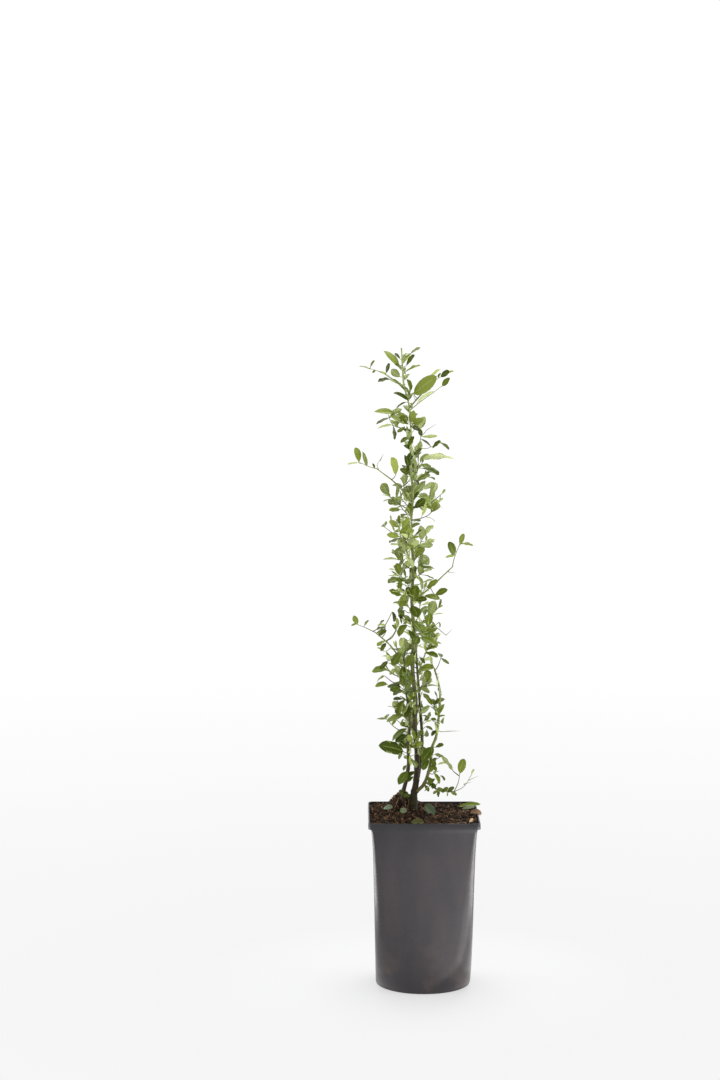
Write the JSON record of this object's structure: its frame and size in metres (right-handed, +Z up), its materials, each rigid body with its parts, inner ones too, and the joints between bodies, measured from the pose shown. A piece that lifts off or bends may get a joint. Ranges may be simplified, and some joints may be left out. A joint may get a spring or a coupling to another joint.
{
  "type": "firethorn shrub in nursery pot",
  "caption": "Young firethorn: a narrow upright column of glossy oval leaves and thorny twigs on slender stems, growing in compost in a tall pot with a square rim and a round foot.",
  "frame": {"origin": "centre of the pot's flat underside", "axes": "+Z up along the plant, +X to the plant's right as seen from the front, -Y towards the front"},
  "size_m": [0.164, 0.1421, 0.798],
  "materials": {
    "pot_plastic": "satin",
    "compost": "matte",
    "bark": "matte",
    "young_bark": "satin",
    "foliage": "satin",
    "dry_leaf": "matte"
  },
  "bodies": {
    "root": {"back_stem": "bark", "belly_back_left": "foliage", "belly_front_left": "foliage", "belly_right": "foliage", "compost": "compost", "crown_tip": "foliage", "foot_back": "foliage", "foot_front_left": "foliage", "foot_right": "foliage", "foot_right_bough": "bark", "foot_right_spray": "foliage", "front_bough": "bark", "front_spray": "foliage", "high_back_bough": "bark", "high_back_spray": "foliage", "left_stem": "bark", "low_back_bough": "bark", "low_back_spray": "foliage", "low_left_bough": "bark", "low_left_spray": "foliage", "main_stem": "bark", "middle_left_bough": "bark", "middle_left_spray": "foliage", "middle_right_bough": "bark", "middle_right_spray": "foliage", "neck_back_right": "foliage", "neck_front_right": "foliage", "neck_left": "foliage", "pot": "pot_plastic", "rib_back_left": "foliage", "rib_front_left": "foliage", "rib_right": "foliage", "right_stem": "bark", "shoulder_back_left": "foliage", "shoulder_front_left": "foliage", "shoulder_right": "foliage", "skirt_back": "foliage", "skirt_front_right": "foliage", "skirt_left": "foliage", "top_left_bough": "bark", "top_left_spray": "foliage", "top_right_bough": "bark", "top_right_spray": "foliage", "tuft_left": "foliage", "tuft_left_bough": "bark", "tuft_right": "foliage", "waist_back_right": "foliage", "waist_front_right": "foliage", "waist_left": "foliage"}
  },
  "joints": []
}
